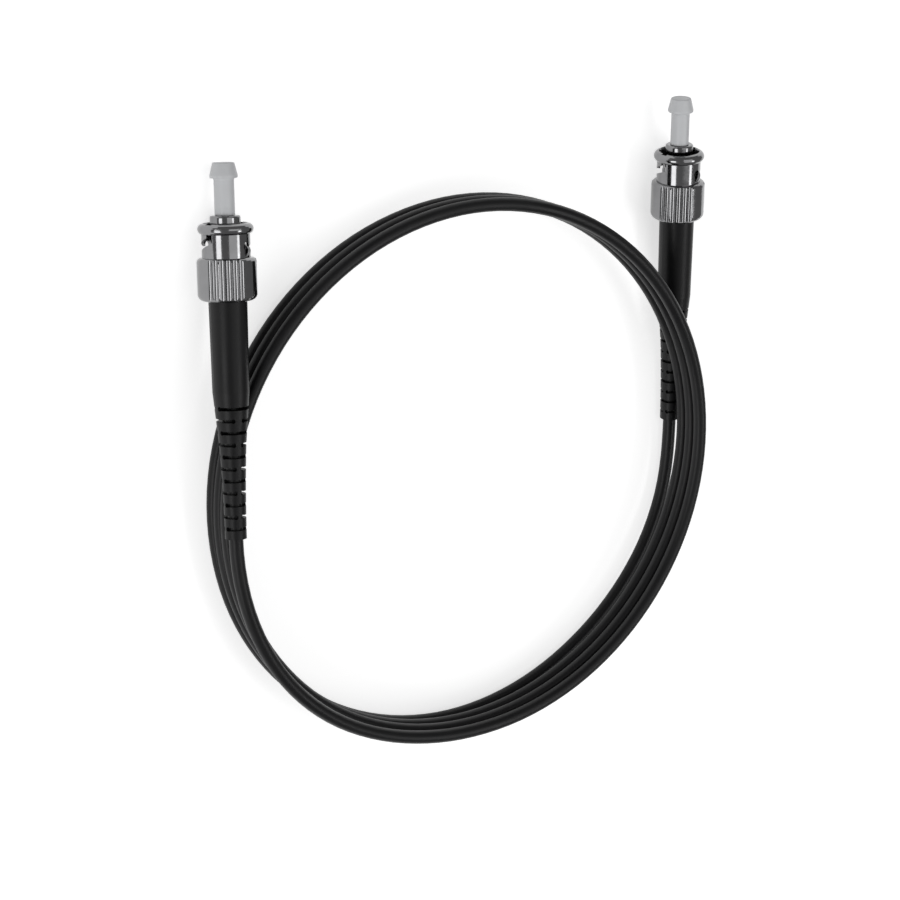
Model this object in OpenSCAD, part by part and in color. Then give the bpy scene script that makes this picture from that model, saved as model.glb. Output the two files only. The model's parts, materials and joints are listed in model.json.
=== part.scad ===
// Simplex fibre patch cord with two bayonet (ST type) connectors, lying coiled on a flat surface.
// Millimetres, +Z up. Both connectors point along +Y; connector a leaves the top of the coil on the
// left and rests its front bead on the surface, connector b leaves from under the coil on the right.
// Every connector piece is drawn about its own axis, from the rear end of the boot (z = 0) to the cap.

/* [Cable] */
// Outside diameter of the cable jacket
cable_d = 2.4; // [2.0:0.1:3.0]
// Diameter of the tight buffer around the glass fibre
buffer_d = 0.9; // [0.6:0.1:1.0]
// Diameter of the glass fibre
fibre_d = 0.125; // [0.125:0.005:0.25]
// Radius of the coil, to the middle of the cable
coil_r = 48.3; // [46:0.1:52]
// Distance between two turns that lie on each other
turn_pitch = 2.45; // [2.4:0.05:2.8]

/* [Boot] */
// Length of the boot that shows behind the coupling nut
boot_len = 39.2; // [37:0.2:42]
// Diameter of the boot at the coupling nut
boot_front_d = 6.3; // [6.0:0.1:6.4]
// Diameter where the plain stretch of the boot ends and its taper starts
boot_shoulder_d = 6.05; // [5.8:0.05:6.2]
// Distance from the rear end of the boot to its shoulder
boot_shoulder_z = 24.4; // [24:0.1:26]
// Diameter of the boot in the middle of its taper
boot_waist_d = 4.45; // [4.2:0.05:4.8]
// Distance from the rear end of the boot to the middle of its taper
boot_waist_z = 15.6; // [14.5:0.1:16.5]
// Wall of the boot around the cable at its rear end
boot_wall = 0.55; // [0.4:0.05:0.8]
// Gap between the cable and the bore of the boot
cable_gap = 0.05; // [0.02:0.01:0.1]
// Distance between two flex slots that face the same way
slot_pitch = 4.0; // [3.6:0.1:4.2]
// Width of a flex slot along the boot
slot_w = 0.55; // [0.4:0.05:0.8]
// Angle that one flex slot spans around the boot
slot_span = 140; // [120:5:150]
// Distance from the rear end of the boot to its first flex slot
slot_start = 1.75; // [1.5:0.05:2.2]
// Number of flex slot pairs that face up and down
slots_up = 6; // [3:1:6]
// Diameter of the relief hole at each end of a flex slot
slot_end_d = 0.75; // [0.6:0.05:1.0]

/* [Coupling nut] */
// Length of the coupling nut
nut_len = 12.5; // [12:0.1:13.5]
// Diameter of the fluted grip
grip_d = 9.7; // [9.4:0.1:10.2]
// Length of the fluted grip
grip_len = 7.0; // [6.4:0.1:7.4]
// Radius of the grip's rear edge
grip_rear_r = 1.1; // [0.8:0.1:1.3]
// Radius of the grip's front edge
grip_front_r = 0.75; // [0.5:0.05:0.85]
// Outside diameter of the plain sleeve in front of the grip
sleeve_d = 7.9; // [7.8:0.05:8.2]
// Bore that takes the barrel of the adapter
nut_bore_d = 7.1; // [7.05:0.05:7.2]
// Outside diameter of the front bead
bead_d = 9.1; // [8.8:0.1:9.4]
// Length of the front bead along the nut
bead_len = 1.8; // [1.6:0.1:2.2]
// Bore at the rear of the nut, around the boot
rear_bore_d = 6.8; // [6.7:0.05:7.0]
// Thickness of the inner shelf that the spring pushes on
shelf_t = 0.8; // [0.6:0.1:1.0]
// Flutes in one group on the grip
flutes = 6; // [3:1:7]
// Angle between two flutes
flute_step = 12.5; // [11:0.5:13]
// Diameter of the cutter that makes a flute
flute_d = 1.1; // [0.8:0.1:1.3]
// Depth of a flute
flute_depth = 0.3; // [0.2:0.05:0.4]
// Width of a bayonet slot
bayonet_w = 1.2; // [1.0:0.1:1.4]
// Angle that a bayonet slot runs around the sleeve
bayonet_turn = 80; // [60:5:100]
// Length of the leg that holds a lug at the end of its slot
bayonet_leg = 1.0; // [0.8:0.1:1.2]
// Depth of the channels that let the lugs in past the bead
channel_depth = 0.5; // [0.3:0.05:0.6]
// Distance that the nut can be pushed forward
nut_travel = 1.5; // [1.0:0.1:1.6]

/* [Barrel and ferrule] */
// Outside diameter of the barrel
barrel_d = 5.0; // [4.9:0.05:5.1]
// Length of the barrel that stands out of the nut
collar_len = 1.25; // [1.0:0.05:2.0]
// Outside diameter of the barrel's rear flange
flange_d = 6.3; // [6.0:0.1:6.4]
// Thickness of the barrel's rear flange
flange_t = 0.8; // [0.6:0.1:1.0]
// Outside diameter of the crimp post
post_d = 3.0; // [2.8:0.1:3.2]
// Length of the crimp post
post_len = 5.6; // [5:0.1:6.2]
// Diameter of the ferrule
ferrule_d = 2.5; // [2.4:0.05:2.6]
// Length of the ferrule
ferrule_len = 12.5; // [11.5:0.1:13]
// Length of the ferrule that stands out of the barrel
ferrule_out = 7.2; // [6.6:0.1:7.4]
// Thickness of the layer of aramid yarn on the crimp post
yarn_t = 0.3; // [0.2:0.05:0.4]
// Wall of the crimp sleeve
crimp_wall = 0.3; // [0.2:0.05:0.35]
// Height of the key on the barrel
key_h = 0.75; // [0.5:0.05:0.8]
// Width of the key on the barrel
key_w = 1.0; // [0.8:0.1:1.2]

/* [Spring and rings] */
// Wire diameter of the spring
spring_wire = 0.45; // [0.3:0.05:0.5]
// Number of coils of the spring
spring_coils = 4; // [3:1:5]
// Length of the spring at rest
spring_len = 3.8; // [3.6:0.1:4.2]
// Thickness of the thrust washer
washer_t = 0.3; // [0.2:0.05:0.4]
// Thickness of the retaining clip
clip_t = 0.5; // [0.4:0.05:0.6]
// Depth of the clip's groove in the barrel
clip_groove = 0.3; // [0.2:0.05:0.4]
// Opening of the retaining clip
clip_mouth = 2.4; // [1.8:0.1:3.0]
// Gap between two pieces that slide or turn on each other
run_gap = 0.05; // [0.03:0.01:0.06]
// Gap between the thin rings and the bore that they lie in
ring_gap = 0.2; // [0.15:0.05:0.25]

/* [Dust cap] */
// Outside diameter of the cap's tube
cap_d = 3.3; // [3.2:0.1:3.6]
// Largest diameter of the cap's head
cap_head_d = 4.55; // [4.2:0.05:4.8]
// Diameter of the cap's flat end
cap_end_d = 3.7; // [3.4:0.05:3.9]
// Length of the cap
cap_len = 8.4; // [8:0.1:9]
// Length of the cap's head
cap_head_len = 2.5; // [2.2:0.1:2.8]
// Gap between the ferrule and the bore of the cap
cap_gap = 0.04; // [0.02:0.01:0.06]

/* [Lie] */
// Angle by which connector a points down to the surface
tilt_a = 7.6; // [7.5:0.1:8.2]
// Angle by which connector b rises from the surface
tilt_b = 3.9; // [3.8:0.1:4.5]
// Angle by which connector a leans towards the middle
lean_a = 4.9; // [4:0.1:5]
// Angle by which connector b leans towards the middle
lean_b = 1.5; // [1:0.1:2]
// Turn of the boot of connector a about its axis
boot_roll_a = -3; // [-30:1:30]
// Turn of the boot of connector b about its axis
boot_roll_b = 14; // [-30:1:30]
// Turn of the coupling nut of connector a about its axis
nut_roll_a = -31; // [-60:1:0]
// Turn of the coupling nut of connector b about its axis
nut_roll_b = -42; // [-60:1:0]

/* [Hidden] */
$fn = 64;
eps = 0.01;

// Stations along a connector, from the rear end of its boot
nut_rear_z = boot_len;
nut_front_z = nut_rear_z + nut_len;
boot_in = 0.7;                                  // part of the boot inside the nut
flange_z = boot_len + boot_in;                  // the boot ends face to face with the flange
shelf_z = flange_z + flange_t + run_gap;
washer_z = shelf_z + shelf_t + run_gap;
spring_z = washer_z + washer_t + run_gap;
clip_z = spring_z + spring_len + run_gap;
barrel_front_z = nut_front_z + collar_len;
ferrule_tip_z = barrel_front_z + ferrule_out;
ferrule_rear_z = ferrule_tip_z - ferrule_len;
post_rear_z = flange_z - post_len;
jacket_front_z = post_rear_z - run_gap;         // the jacket is stripped just behind the post
cap_rear_z = barrel_front_z + run_gap;
cap_front_z = cap_rear_z + cap_len;

// Bores of the boot
cable_bore_r = cable_d / 2 + cable_gap;
boot_tail_d = cable_d + 2 * (cable_gap + boot_wall);
yarn_r = post_d / 2 + yarn_t;
crimp_r = yarn_r + crimp_wall;
crimp_tail = 1.6;                               // crimp sleeve behind the post, around the jacket
crimp_z = jacket_front_z - crimp_tail;
crimp_len = flange_z - run_gap - crimp_z;
crimp_gap = 0.05;
boot_taper_in = 1.2;                            // cone between the two bores of the boot

slot_cut = boot_front_d;                        // reach of the cutters of the flex slots

// Coupling nut
sleeve_bore_z = shelf_z + shelf_t;
grip_front_z = nut_rear_z + grip_len;
bead_mid_r = bead_d / 2 - bead_len / 2;
bayonet_z = grip_front_z + bayonet_w / 2 + 0.2; // where the leg of a slot starts, near the grip
bayonet_in_z = nut_front_z - bead_len - bayonet_w / 2 - 0.2; // where a lug comes in under the bead
groups = 3;                                     // groups of flutes around the grip
bayonet_at = 60;                                // from a group's middle to a bayonet slot
cut_r = nut_bore_d / 2 - 0.3;                   // the slot's cutters start inside the bore
cut_len = (sleeve_d - nut_bore_d) / 2 + 0.6;
straight_w = bayonet_w - 0.04;                  // straight stretches lie just inside the round ends

// Spring
spring_r = (barrel_d + nut_bore_d) / 4;

// The coil leans on the boot of connector b, so its right side stands higher than its left
coil_low_z = cable_d / 2;
coil_rise = 5;
coil_tilt = atan(coil_rise / (2 * coil_r));
coil_turns = 3;                                 // turns stacked in the coil's solid
end_a = [-49.5, 0];                             // rear ends of the boots, from the coil's middle
end_b = [48.1, 0];
origin = [0.3, 30.5];                           // middle of the connectors, from the coil's middle

// Heights of the rear ends: the bead of a and the grip of b touch the surface
bead_drop = bead_mid_r * cos(tilt_a) + bead_len / 2;
end_a_z = bead_drop + (nut_front_z - bead_len / 2) * sin(tilt_a);
grip_drop = (grip_d / 2 - grip_rear_r) * cos(tilt_b) + grip_rear_r;
end_b_z = grip_drop - (nut_rear_z + grip_rear_r) * sin(tilt_b);

// Routes of the two stretches of cable between the boots and the coil's solid, from the coil's middle
ROUTE_A = [[-49.7, -4, 11.65], [-49.2, -9.3, 11.9], [-47.7, -15.5, 11.9], [-44.7, -22.5, 11.5],
    [-39.8, -29.7, 10.8], [-33.3, -36.3, 10.3], [-25.3, -41.6, 9.95], [-16.6, -45.5, 10.1],
    [-7.3, -47.7, 10.4], [2.1, -48.3, 10.8]];
ROUTE_B = [[48.1, -4, 1.85], [47.5, -9, 1.55], [46, -14.8, 1.32], [43.2, -21.7, 1.22],
    [38.7, -29, 1.22], [32.7, -35.6, 1.22], [25.1, -41.3, 1.22], [16.5, -45.4, 1.22],
    [7.3, -47.7, 1.22], [-2.1, -48.3, 1.22], [-12, -46.8, 1.22]];

// --- Placing ---

// Lays a connector that is drawn along +Z so that it points along +Y
module lay_a() {
    translate([end_a[0] - origin[0], end_a[1] - origin[1], end_a_z])
        rotate([0, 0, -lean_a]) rotate([-90 - tilt_a, 0, 0]) rotate([0, 0, 180]) children();
}

module lay_b() {
    translate([end_b[0] - origin[0], end_b[1] - origin[1], end_b_z])
        rotate([0, 0, lean_b]) rotate([-90 + tilt_b, 0, 0]) rotate([0, 0, 180]) children();
}

// A ring about the axis, from radius r1 to r2
module ring(z, h, r1, r2) {
    translate([0, 0, z]) rotate_extrude() translate([r1, 0]) square([r2 - r1, h]);
}

// --- Boot and what it holds ---

// Half section of the boot's outside, as a smooth line through four stations
function boot_r(z) =
    z > boot_shoulder_z
        ? boot_shoulder_d / 2 + (boot_front_d - boot_shoulder_d) / 2 * (z - boot_shoulder_z) / (boot_len - boot_shoulder_z)
    : z > boot_waist_z
        ? boot_waist_d / 2 + (boot_shoulder_d - boot_waist_d) / 2 * (z - boot_waist_z) / (boot_shoulder_z - boot_waist_z)
    : boot_tail_d / 2 + (boot_waist_d - boot_tail_d) / 2 * pow(z / boot_waist_z, 2);

module boot_profile() {
    steps = 8;
    curve = [for (i = [0:steps]) let (z = boot_waist_z * i / steps) [boot_r(z), z]];
    polygon(concat(
        [[cable_bore_r, 0]],
        curve,
        [[boot_shoulder_d / 2, boot_shoulder_z], [boot_front_d / 2, boot_len], [boot_front_d / 2, flange_z],
            [crimp_r + crimp_gap, flange_z], [crimp_r + crimp_gap, crimp_z - crimp_gap],
            [cable_bore_r, crimp_z - crimp_gap - boot_taper_in]]));
}

// One flex slot, centred on direction a, with a relief hole at each end
module flex_slot(z, a) {
    rotate([0, 0, a - slot_span / 2]) translate([0, 0, z - slot_w / 2])
        rotate_extrude(angle = slot_span) translate([cable_bore_r - eps, 0]) square([slot_cut, slot_w]);
    for (s = [-1, 1]) {
        rotate([0, 0, a + s * slot_span / 2]) translate([cable_bore_r, 0, z])
            rotate([0, 90, 0]) cylinder(d = slot_end_d, h = slot_cut, $fn = 32);
    }
}

module boot(roll) {
    color("#1c1c1e") difference() {
        rotate_extrude() boot_profile();
        for (i = [0:slots_up - 1], a = [90, 270]) {
            flex_slot(slot_start + i * slot_pitch, a + roll);
        }
        for (i = [0:slots_up - 2], a = [0, 180]) {
            flex_slot(slot_start + (i + 0.5) * slot_pitch, a + roll);
        }
    }
}

// The end of the cable inside the boot, with the buffer tube's bore through it
module jacket_end() {
    color("#161617") ring(0, jacket_front_z, buffer_d / 2, cable_d / 2);
}

module crimp_sleeve() {
    color("#b9a46a") rotate_extrude() polygon([
        [cable_d / 2, crimp_z], [crimp_r - crimp_wall / 2, crimp_z], [crimp_r, crimp_z + crimp_wall],
        [crimp_r, crimp_z + crimp_len], [yarn_r, crimp_z + crimp_len],
        [yarn_r, post_rear_z - run_gap], [cable_d / 2, post_rear_z - run_gap]]);
}

module aramid_yarn() {
    color("#d9c34a") ring(post_rear_z, post_len - 2 * run_gap, post_d / 2, yarn_r);
}

module buffer_tube() {
    color("#e8e6de") ring(0, ferrule_rear_z, fibre_d / 2, buffer_d / 2);
}

module glass_fibre() {
    color("#cfe3ee") cylinder(d = fibre_d, h = ferrule_tip_z);
}

// --- Barrel, ferrule and rings ---

module barrel() {
    edge = 0.35;
    groove_r = barrel_d / 2 - clip_groove;
    color("#9a9da1") {
        rotate_extrude() polygon(concat(
            [[buffer_d / 2 + run_gap, post_rear_z], [post_d / 2, post_rear_z],
                [post_d / 2, flange_z], [flange_d / 2, flange_z],
                [flange_d / 2, flange_z + flange_t], [barrel_d / 2, flange_z + flange_t],
                [barrel_d / 2, clip_z], [groove_r, clip_z],
                [groove_r, clip_z + clip_t], [barrel_d / 2, clip_z + clip_t]],
            [for (a = [0:15:90])
                [barrel_d / 2 - edge * (1 - cos(a)), barrel_front_z - edge * (1 - sin(a))]],
            [[ferrule_d / 2, barrel_front_z], [ferrule_d / 2, ferrule_rear_z],
                [buffer_d / 2 + run_gap, ferrule_rear_z]]));
        barrel_key();
    }
}

// The key that lines the ferrule up with the slot of the adapter
module barrel_key() {
    key_z = clip_z + clip_t + 1.2;
    translate([-key_w / 2, -barrel_d / 2 - key_h, key_z])
        cube([key_w, key_h + 0.3, nut_front_z - 0.6 - key_z]);
}

module ferrule() {
    bevel = 0.3;
    color("#f4f3ee") rotate_extrude() polygon([
        [fibre_d / 2, ferrule_rear_z], [ferrule_d / 2, ferrule_rear_z],
        [ferrule_d / 2, ferrule_tip_z - bevel], [ferrule_d / 2 - bevel, ferrule_tip_z],
        [fibre_d / 2, ferrule_tip_z]]);
}

module retaining_clip() {
    color("#6d7074") difference() {
        ring(clip_z, clip_t, barrel_d / 2 - clip_groove, nut_bore_d / 2 - ring_gap);
        translate([-clip_mouth / 2, 0, clip_z - eps])
            cube([clip_mouth, nut_bore_d, clip_t + 2 * eps]);
    }
}

module thrust_washer() {
    color("#a8aaad") ring(washer_z, washer_t, barrel_d / 2 + run_gap, nut_bore_d / 2 - ring_gap);
}

// A coil spring as one swept tube with flat closed ends
module spring() {
    sides = 8;
    per_turn = 16;
    n = per_turn * spring_coils;
    free = spring_len - spring_wire;
    function at(i) = let (t = i / n, a = 360 * spring_coils * t)
        [spring_r * cos(a), spring_r * sin(a), spring_z + spring_wire / 2 + free * t];
    pts = [for (i = [0:n], k = [0:sides - 1])
        let (a = 360 * spring_coils * i / n, p = at(i), b = 360 * k / sides)
        p + spring_wire / 2 * [cos(b) * cos(a), cos(b) * sin(a), sin(b)]];
    color("#8f9296") polyhedron(
        points = pts,
        faces = concat(
            [[for (k = [sides - 1:-1:0]) k]],
            [for (i = [0:n - 1], k = [0:sides - 1])
                let (k2 = (k + 1) % sides, q = i * sides)
                [q + k, q + k2, q + sides + k2, q + sides + k]],
            [[for (k = [0:sides - 1]) n * sides + k]]),
        convexity = 6);
}

// --- Coupling nut ---

module nut_profile() {
    grip_r = grip_d / 2;
    sleeve_r = sleeve_d / 2;
    bore_r = nut_bore_d / 2;
    chamfer = 0.1;
    bead_r = bead_len / 2;
    bead_z = nut_front_z - bead_r;
    from = -acos((sleeve_r - bead_mid_r) / bead_r);     // where the bead leaves the sleeve
    to = acos((bore_r + chamfer - bead_mid_r) / bead_r); // where it meets the chamfer of the bore
    steps = 10;
    polygon(concat(
        [[rear_bore_d / 2, nut_rear_z]],
        [for (a = [-90:15:0]) [grip_r - grip_rear_r * (1 - cos(a)), nut_rear_z + grip_rear_r * (1 + sin(a))]],
        [for (a = [0:15:90]) [grip_r - grip_front_r * (1 - cos(a)), grip_front_z - grip_front_r * (1 - sin(a))]],
        [[sleeve_r, grip_front_z]],
        [for (i = [0:steps]) let (a = from + (to - from) * i / steps)
            [bead_mid_r + bead_r * cos(a), bead_z + bead_r * sin(a)]],
        [[bore_r, bead_z + bead_r * sin(to) - 2 * chamfer], [bore_r, sleeve_bore_z],
            [barrel_d / 2 + run_gap, sleeve_bore_z], [barrel_d / 2 + run_gap, shelf_z],
            [rear_bore_d / 2, shelf_z]]));
}

// Flutes in three groups around the grip
module flute_cutters() {
    out = grip_d / 2 + flute_d / 2 - flute_depth;
    for (g = [0:groups - 1], i = [0:flutes - 1]) {
        rotate([0, 0, 90 + g * 360 / groups + (i - (flutes - 1) / 2) * flute_step])
            translate([out, 0, nut_rear_z - eps]) cylinder(d = flute_d, h = grip_len + 2 * eps, $fn = 24);
    }
}

// A round hole through the sleeve
module sleeve_hole(a, z, d) {
    rotate([0, 0, a]) translate([cut_r, 0, z]) rotate([0, 90, 0]) cylinder(d = d, h = cut_len, $fn = 32);
}

// One bayonet slot: a lug comes in under the bead, follows the ramp back and settles in the leg
module bayonet_cutter() {
    steps = 16;
    relief = 0.3;       // the round end of the leg is wider than the leg
    for (i = [0:steps]) {
        sleeve_hole(bayonet_turn * i / steps, bayonet_z + (bayonet_in_z - bayonet_z) * i / steps, bayonet_w);
    }
    translate([cut_r, -straight_w / 2, bayonet_z]) cube([cut_len, straight_w, bayonet_leg]);
    sleeve_hole(0, bayonet_z + bayonet_leg, bayonet_w + relief);
}

// The channel in the bore that lets a lug in under the bead
module channel_cutter() {
    rotate([0, 0, bayonet_turn]) translate([cut_r, -straight_w / 2, bayonet_in_z])
        cube([nut_bore_d / 2 + channel_depth - cut_r, straight_w, nut_front_z - bayonet_in_z + eps]);
}

module coupling_nut(roll) {
    color("#8c8e92") rotate([0, 0, roll]) difference() {
        rotate_extrude() nut_profile();
        flute_cutters();
        for (s = [0, 180]) {
            rotate([0, 0, 90 + bayonet_at + s]) {
                bayonet_cutter();
                channel_cutter();
            }
        }
    }
}

// --- Dust cap ---

module dust_cap() {
    bore_r = ferrule_d / 2 + cap_gap;
    head_z = cap_front_z - cap_head_len;
    lip = 0.45;
    edge = 0.3;
    color("#e9e9ea") rotate_extrude() polygon(concat(
        [[bore_r, cap_rear_z], [cap_d / 2, cap_rear_z], [cap_d / 2, head_z - 0.35],
            [cap_d / 2 + 0.12, head_z], [cap_head_d / 2 - 0.1, head_z], [cap_head_d / 2, head_z + 0.1],
            [cap_head_d / 2, head_z + lip]],
        [for (a = [0:15:90])
            [cap_end_d / 2 - edge * (1 - cos(a)), cap_front_z - edge * (1 - sin(a))]],
        [[0, cap_front_z], [0, ferrule_tip_z + 0.25], [bore_r, ferrule_tip_z + 0.25]]));
}

// --- Cable ---

// The turns of the coil, as one ring of stacked rounds
module cord_coil() {
    r = cable_d / 2;
    color("#161617") translate([-origin[0], -origin[1], coil_low_z + coil_rise / 2])
        rotate([0, -coil_tilt, 0]) rotate_extrude($fn = 128) {
            for (i = [0:coil_turns - 1]) {
                translate([coil_r, i * turn_pitch]) circle(r = r, $fn = 32);
            }
            translate([coil_r - r / 2, 0]) square([r, (coil_turns - 1) * turn_pitch]);
        }
}

function unit(v) = v / norm(v);

// A point on a smooth curve between points b and c of a list
function spline(a, b, c, d, t) =
    b + 0.5 * t * (c - a + t * (2 * a - 5 * b + 4 * c - d + t * (3 * (b - c) + d - a)));

function dense(p, per) = concat(
    [for (i = [0:len(p) - 2], j = [0:per - 1])
        spline(p[max(i - 1, 0)], p[i], p[i + 1], p[min(i + 2, len(p) - 1)], j / per)],
    [p[len(p) - 1]]);

// A round tube along a route
module swept_tube(route, d, first) {
    sides = 8;
    p = dense(route, 2);
    n = len(p);
    function along(i) = i == 0 ? first : unit(p[min(i + 1, n - 1)] - p[i - 1]);
    pts = [for (i = [0:n - 1]) let (w = along(i), u = unit(cross(w, [0, 0, 1])), v = cross(u, w))
        for (k = [0:sides - 1]) p[i] + d / 2 * (cos(360 * k / sides) * u + sin(360 * k / sides) * v)];
    color("#161617") translate([-origin[0], -origin[1], 0]) polyhedron(
        points = pts,
        faces = concat(
            [[for (k = [sides - 1:-1:0]) k]],
            [for (i = [0:n - 2], k = [0:sides - 1]) let (k2 = (k + 1) % sides, q = i * sides)
                [q + k, q + k2, q + sides + k2, q + sides + k]],
            [[for (k = [0:sides - 1]) (n - 1) * sides + k]]),
        convexity = 6);
}

module cord_lead_a() {
    axis = [-sin(lean_a) * cos(tilt_a), -cos(lean_a) * cos(tilt_a), sin(tilt_a)];
    swept_tube(concat([[end_a[0], end_a[1], end_a_z]], ROUTE_A), cable_d, axis);
}

module cord_lead_b() {
    axis = [sin(lean_b) * cos(tilt_b), -cos(lean_b) * cos(tilt_b), -sin(tilt_b)];
    swept_tube(concat([[end_b[0], end_b[1], end_b_z]], ROUTE_B), cable_d, axis);
}

// --- Nodes ---

lay_a() boot(boot_roll_a);  // boot_a
lay_a() jacket_end();  // jacket_end_a
lay_a() crimp_sleeve();  // crimp_sleeve_a
lay_a() aramid_yarn();  // aramid_yarn_a
lay_a() buffer_tube();  // buffer_tube_a
lay_a() glass_fibre();  // glass_fibre_a
lay_a() barrel();  // barrel_a
lay_a() ferrule();  // ferrule_a
lay_a() retaining_clip();  // retaining_clip_a
lay_a() spring();  // spring_a
lay_a() thrust_washer();  // thrust_washer_a
lay_a() coupling_nut(nut_roll_a);  // coupling_nut_a
lay_a() dust_cap();  // dust_cap_a
lay_b() boot(boot_roll_b);  // boot_b
lay_b() jacket_end();  // jacket_end_b
lay_b() crimp_sleeve();  // crimp_sleeve_b
lay_b() aramid_yarn();  // aramid_yarn_b
lay_b() buffer_tube();  // buffer_tube_b
lay_b() glass_fibre();  // glass_fibre_b
lay_b() barrel();  // barrel_b
lay_b() ferrule();  // ferrule_b
lay_b() retaining_clip();  // retaining_clip_b
lay_b() spring();  // spring_b
lay_b() thrust_washer();  // thrust_washer_b
lay_b() coupling_nut(nut_roll_b);  // coupling_nut_b
lay_b() dust_cap();  // dust_cap_b
cord_coil();
cord_lead_a();
cord_lead_b();
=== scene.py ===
"""Looks for the simplex fibre patch cord with two ST type connectors.

Metres, in the frame of the CAD model.
"""

import json
import math

import bpy
from mathutils import Matrix, Vector

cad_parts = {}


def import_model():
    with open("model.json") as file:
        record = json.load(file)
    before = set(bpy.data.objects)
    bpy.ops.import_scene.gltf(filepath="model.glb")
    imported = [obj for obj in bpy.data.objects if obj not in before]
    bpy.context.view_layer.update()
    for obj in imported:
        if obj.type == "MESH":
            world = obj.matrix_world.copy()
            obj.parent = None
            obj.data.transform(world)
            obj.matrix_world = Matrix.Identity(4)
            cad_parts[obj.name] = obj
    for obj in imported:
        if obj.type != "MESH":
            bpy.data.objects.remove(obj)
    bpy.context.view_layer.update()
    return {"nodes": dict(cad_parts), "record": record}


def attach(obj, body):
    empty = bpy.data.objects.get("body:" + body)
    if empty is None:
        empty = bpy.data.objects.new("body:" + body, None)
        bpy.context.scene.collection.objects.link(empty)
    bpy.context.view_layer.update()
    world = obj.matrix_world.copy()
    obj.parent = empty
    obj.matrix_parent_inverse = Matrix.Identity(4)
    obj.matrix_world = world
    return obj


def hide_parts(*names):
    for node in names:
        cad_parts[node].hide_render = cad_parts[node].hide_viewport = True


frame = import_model()

MM = 0.001
ROOT = "cable_and_barrels"

# ---------------------------------------------------------------- numbers shared with the part's source

ORIGIN = Vector((0.3, 30.5, 0.0))          # the row's origin, from the coil's middle
COIL_R = 48.3
CABLE_D = 2.4
TURN_PITCH = 2.45
COIL_RISE = 5.0
END_A = Vector((-49.5, 0.0, 11.237))       # rear ends of the boots, from the coil's middle
END_B = Vector((48.1, 0.0, 2.1))
LEAN_A, TILT_A = math.radians(4.9), math.radians(7.6)
LEAN_B, TILT_B = math.radians(1.5), math.radians(3.9)


def world(p):
    """A point in millimetres from the coil's middle, as metres in the row frame."""
    return (Vector(p) - ORIGIN) * MM


# ---------------------------------------------------------------- camera

# Millimetres in the row frame, and directions
CAMERA_AT = Vector((-219.3, 106.9, 337.5))
CAMERA_RIGHT = Vector((0.8356, -0.0170, 0.5491))
CAMERA_BACK = Vector((-0.5161, 0.3181, 0.7953))
LENS, SENSOR = 95.1, 36.0

cam_data = bpy.data.cameras.new("camera")
cam_data.lens = LENS
cam_data.sensor_width = SENSOR
cam_data.clip_start, cam_data.clip_end = 0.01, 20.0
camera = bpy.data.objects.new("camera", cam_data)
bpy.context.scene.collection.objects.link(camera)
back = CAMERA_BACK.normalized()
up = back.cross(CAMERA_RIGHT).normalized()
right = up.cross(back)
turn = Matrix((right, up, back)).transposed()
camera.matrix_world = Matrix.Translation(CAMERA_AT * MM) @ turn.to_4x4()
bpy.context.scene.camera = camera

# ---------------------------------------------------------------- cable

POINTS_PER_TURN = 120
TURNS = 3.5
FLOOR_Z = CABLE_D / 2 + 0.02               # height of a centre line that rests on the floor
LEAD_A_R, LEAD_A_Z = 1.35, 1.6             # angles over which lead a joins the coil, sideways and down
LEAD_A_FALL = 0.39                         # about the coil's own fall per radian
LEAD_B_R, LEAD_B_Z = 1.1, 0.6              # the same angles for lead b
LEAD_B_FREE = 1.2 * math.pi                # angle over which lead b leaves the coil's spiral
LEAD_B_BLEND = 0.25 * math.pi              # part of that angle in which it does so
LEAD_B_RISE, LEAD_B_OUT = 1.15, 0.5        # how far lead b stays off the floor, and outside the coil
LEAD_B_OUT_BY = 0.35                       # angle over which it moves outside
PULL_IN, PULL_AT = 0.5, 0.7 * math.pi      # how far the turns are pulled in, most at that angle


def ease(u, value, slope):
    """Starts at value with that slope and comes to rest at zero where u is 1."""
    if u >= 1:
        return 0.0
    return value * (1 - 3 * u * u + 2 * u ** 3) + slope * (u - 2 * u * u + u ** 3)


def smooth(u):
    """Goes from 0 to 1 with level ends."""
    return u * u * (3 - 2 * u)


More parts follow.
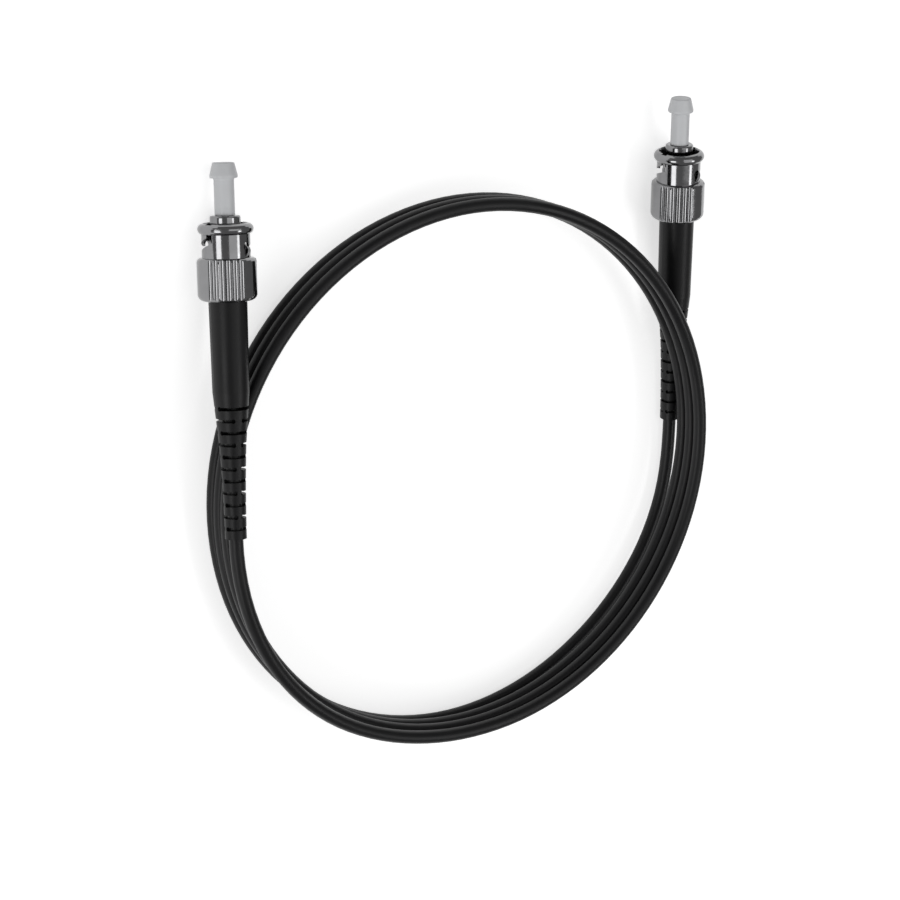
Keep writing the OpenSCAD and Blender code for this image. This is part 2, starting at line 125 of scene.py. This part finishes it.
def cable_line():
    """The cable's centre line, from boot a to boot b, in millimetres from the coil's middle."""
    half_swing = (COIL_RISE - TURN_PITCH / 2) / 2
    points = []
    count = int(POINTS_PER_TURN * TURNS)

    def spiral(t):
        """Height of the coil at angle t from the left side, where each turn lies on the next one."""
        turns_above = TURNS - 0.5 - t / (2 * math.pi)
        return FLOOR_Z + half_swing * (1 - math.cos(t)) + TURN_PITCH * turns_above

    for i in range(count + 1):
        t = 2 * math.pi * TURNS * i / count
        left = 2 * math.pi * TURNS - t
        inward = PULL_IN * max(0.0, math.cos(t - PULL_AT)) ** 2 * min(1.0, t / math.pi, left)
        r = COIL_R - inward + ease(t / LEAD_A_R, -END_A.x - COIL_R, math.sin(LEAN_A) * COIL_R * LEAD_A_R)
        r += ease(left / LEAD_B_R, END_B.x - COIL_R, math.sin(LEAN_B) * COIL_R * LEAD_B_R)
        slope_a = math.sin(TILT_A) * COIL_R + LEAD_A_FALL
        z = spiral(t) + ease(t / LEAD_A_Z, END_A.z - spiral(0), slope_a * LEAD_A_Z)
        if left < LEAD_B_FREE:
            rest = FLOOR_Z + LEAD_B_RISE * (1 - left / LEAD_B_FREE)
            slope_b = -math.sin(TILT_B) * COIL_R
            low = rest + ease(left / LEAD_B_Z, END_B.z - rest, slope_b * LEAD_B_Z)
            w = smooth(min(1.0, (LEAD_B_FREE - left) / LEAD_B_BLEND))
            z = z * (1 - w) + low * w
            r += LEAD_B_OUT * smooth(min(1.0, left / LEAD_B_OUT_BY)) * (1 - left / LEAD_B_FREE)
        points.append(Vector((-r * math.cos(t), -r * math.sin(t), z)))
    return points


def length_of(points):
    return sum((b - a).length for a, b in zip(points, points[1:]))


cable_points = [world(p) for p in cable_line()]
curve = bpy.data.curves.new("cable", "CURVE")
curve.dimensions = "3D"
curve.bevel_depth = 1.0                    # times each point's radius
curve.bevel_resolution = 5
curve.use_fill_caps = True
spline = curve.splines.new("POLY")
spline.points.add(len(cable_points) - 1)
for q, p in zip(spline.points, cable_points):
    q.co = (*p, 1)
    q.radius = CABLE_D / 2 * MM
spline.use_smooth = True
cable = bpy.data.objects.new("cable", curve)
bpy.context.scene.collection.objects.link(cable)
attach(cable, ROOT)
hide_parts("cord_coil", "cord_lead_a", "cord_lead_b")

# ---------------------------------------------------------------- materials

UNEVEN = (0.3, 0.7)                        # the middle range of a noise, spread to the full change

class Nodes:
    """A short way to build a node tree."""

    def __init__(self, name):
        self.mat = bpy.data.materials.new(name)
        self.mat.use_nodes = True
        self.tree = self.mat.node_tree
        self.tree.nodes.clear()
        self.out = self.add("ShaderNodeOutputMaterial")

    def add(self, kind, values=None, **props):
        node = self.tree.nodes.new(kind)
        for k, v in props.items():
            setattr(node, k, v)
        for k, v in (values or {}).items():
            node.inputs[k].default_value = v
        return node

    def link(self, a, b):
        self.tree.links.new(a, b)

    def place(self):
        return self.add("ShaderNodeTexCoord").outputs["Object"]

    def noise(self, scale, detail=3.0, rough=0.5):
        node = self.add("ShaderNodeTexNoise", {"Scale": scale, "Detail": detail, "Roughness": rough})
        self.link(self.place(), node.inputs["Vector"])
        return node.outputs["Fac"]

    def ramp(self, value, out_lo, out_hi):
        lo, hi = UNEVEN
        node = self.add("ShaderNodeMapRange",
                        {"From Min": lo, "From Max": hi, "To Min": out_lo, "To Max": out_hi})
        self.link(value, node.inputs["Value"])
        return node.outputs["Result"]

    def blend(self, value, a, b):
        node = self.add("ShaderNodeMix", data_type="RGBA")
        factor, first, second, result = 0, 6, 7, 2      # the colour sockets of this node
        node.inputs[first].default_value, node.inputs[second].default_value = (*a, 1), (*b, 1)
        self.link(value, node.inputs[factor])
        return node.outputs[result]

    def bump(self, height, strength, distance):
        node = self.add("ShaderNodeBump", {"Strength": strength, "Distance": distance})
        self.link(height, node.inputs["Height"])
        return node.outputs["Normal"]

    def principled(self, values, links):
        node = self.add("ShaderNodeBsdfPrincipled", values)
        for k, v in links.items():
            self.link(v, node.inputs[k])
        self.link(node.outputs["BSDF"], self.out.inputs["Surface"])
        return self.mat


def soft_black(name, dark, light, rough, grain, depth):
    """A black polymer: slightly uneven colour and gloss over a fine moulded grain."""
    n = Nodes(name)
    cloud = n.noise(90, 4)
    fine = n.noise(grain, 2, 0.6)
    return n.principled(
        {"Specular IOR Level": 0.24, "IOR": 1.48},
        {"Base Color": n.blend(n.ramp(cloud, 0, 1), dark, light),
         "Roughness": n.ramp(cloud, rough - 0.05, rough + 0.06),
         "Normal": n.bump(fine, 0.35, depth)})


def metal(name, dark, light, rough, grain=700, depth=0.00001):
    """A plated or turned metal: nearly even colour, fine marks in its gloss."""
    n = Nodes(name)
    cloud = n.noise(260, 3)
    fine = n.noise(grain, 2, 0.6)
    return n.principled(
        {"Metallic": 1.0},
        {"Base Color": n.blend(n.ramp(cloud, 0, 1), dark, light),
         "Roughness": n.ramp(fine, rough * 0.7, rough * 1.4),
         "Normal": n.bump(fine, 0.2, depth)})


def plain(name, dark, light, rough, grain=500, depth=0.00001, **values):
    """A pale polymer or ceramic."""
    n = Nodes(name)
    cloud = n.noise(160, 3)
    fine = n.noise(grain, 3, 0.6)
    base = {"Specular IOR Level": 0.5}
    base.update({k.replace("_", " "): v for k, v in values.items()})
    return n.principled(
        base,
        {"Base Color": n.blend(n.ramp(cloud, 0, 1), dark, light),
         "Roughness": n.ramp(fine, rough - 0.05, rough + 0.05),
         "Normal": n.bump(fine, 0.2, depth)})


MATS = {
    "cable_jacket": soft_black("cable_jacket", (0.007, 0.007, 0.0075), (0.010, 0.010, 0.0105),
                               0.40, 2600, 0.00001),
    "boot_rubber": soft_black("boot_rubber", (0.005, 0.005, 0.0055), (0.008, 0.008, 0.0085),
                              0.42, 3200, 0.000012),
    "nickel": metal("nickel", (0.21, 0.21, 0.215), (0.25, 0.25, 0.255), 0.12),
    "crimp_brass": metal("crimp_brass", (0.62, 0.46, 0.20), (0.70, 0.54, 0.26), 0.25),
    "aramid": plain("aramid", (0.70, 0.55, 0.10), (0.82, 0.68, 0.20), 0.7, 1500, 0.00003),
    "buffer": plain("buffer", (0.80, 0.79, 0.75), (0.86, 0.85, 0.81), 0.45),
    "silica": plain("silica", (0.80, 0.88, 0.92), (0.86, 0.92, 0.95), 0.10,
                    Transmission_Weight=0.8),
    "zirconia": plain("zirconia", (0.88, 0.87, 0.83), (0.91, 0.90, 0.87), 0.16),
    "spring_steel": metal("spring_steel", (0.42, 0.42, 0.43), (0.50, 0.50, 0.51), 0.22),
    "steel": metal("steel", (0.52, 0.52, 0.53), (0.60, 0.60, 0.61), 0.2),
    "cap_plastic": plain("cap_plastic", (0.62, 0.63, 0.645), (0.65, 0.66, 0.675), 0.42, 900, 0.00001),
}
SLOT_OF = {s["node"]: s["material_slot"] for s in frame["record"]["subparts"]}
for name, node in frame["nodes"].items():
    node.data.materials.clear()
    node.data.materials.append(MATS[SLOT_OF[name]])
curve.materials.append(MATS["cable_jacket"])

# ---------------------------------------------------------------- floor and light

FLOOR_HALF = 6.0
FLOOR_ALBEDO = 0.80
FLOOR_GLOW = 0.62                          # seen by the camera and in metal and glass
WORLD_LEVEL = 0.25
TARGET = Vector((0.0, -0.025, 0.005))      # what the lamps look at

floor_mesh = bpy.data.meshes.new("floor")
corners = [(x * FLOOR_HALF, y * FLOOR_HALF, 0) for x, y in ((-1, -1), (1, -1), (1, 1), (-1, 1))]
floor_mesh.from_pydata(corners, [], [(0, 1, 2, 3)])
floor = bpy.data.objects.new("floor", floor_mesh)
bpy.context.scene.collection.objects.link(floor)

n = Nodes("floor")
path = n.add("ShaderNodeLightPath")
seen = n.add("ShaderNodeMath", operation="MAXIMUM")
n.link(path.outputs["Is Camera Ray"], seen.inputs[0])
n.link(path.outputs["Is Glossy Ray"], seen.inputs[1])
seen2 = n.add("ShaderNodeMath", operation="MAXIMUM")
n.link(seen.outputs[0], seen2.inputs[0])
n.link(path.outputs["Is Transmission Ray"], seen2.inputs[1])
glow = n.add("ShaderNodeMath", {1: FLOOR_GLOW}, operation="MULTIPLY")
n.link(seen2.outputs[0], glow.inputs[0])
diffuse = n.add("ShaderNodeBsdfDiffuse", {"Color": (FLOOR_ALBEDO, FLOOR_ALBEDO, FLOOR_ALBEDO, 1)})
emit = n.add("ShaderNodeEmission", {"Color": (1, 1, 1, 1)})
n.link(glow.outputs[0], emit.inputs["Strength"])
both = n.add("ShaderNodeAddShader")
n.link(diffuse.outputs[0], both.inputs[0])
n.link(emit.outputs[0], both.inputs[1])
n.link(both.outputs[0], n.out.inputs["Surface"])
floor_mesh.materials.append(n.mat)

world_data = bpy.data.worlds.new("studio")
world_data.use_nodes = True
bpy.context.scene.world = world_data
bg = world_data.node_tree.nodes["Background"]
bg.inputs["Color"].default_value = (1, 1, 1, 1)
bg.inputs["Strength"].default_value = WORLD_LEVEL


def softbox(name, direction, distance, length, width, radiance):
    """An area lamp that looks at the object from that direction, its length along the row's Y."""
    data = bpy.data.lights.new(name, "AREA")
    data.shape = "RECTANGLE"
    data.size, data.size_y = length, width
    data.energy = radiance * math.pi * length * width
    lamp = bpy.data.objects.new(name, data)
    z = Vector(direction).normalized()
    x = (Vector((0, 1, 0)) - z * z.y).normalized()
    y = z.cross(x)
    facing = Matrix((x, y, z)).transposed().to_4x4()
    lamp.matrix_world = Matrix.Translation(TARGET + z * distance) @ facing
    bpy.context.scene.collection.objects.link(lamp)


softbox("key_left", (-0.86, -0.24, 0.44), 1.2, 1.0, 0.50, 3.4)
softbox("top", (0.1, 0.1, 1.0), 1.5, 1.3, 1.1, 0.9)
softbox("right", (0.49, -0.27, 0.81), 1.3, 0.9, 0.28, 4.0)

bpy.context.scene.view_settings.view_transform = "Standard"

# ---------------------------------------------------------------- last lines

bpy.context.view_layer.update()
print("cable length", round(length_of(cable_points), 4))
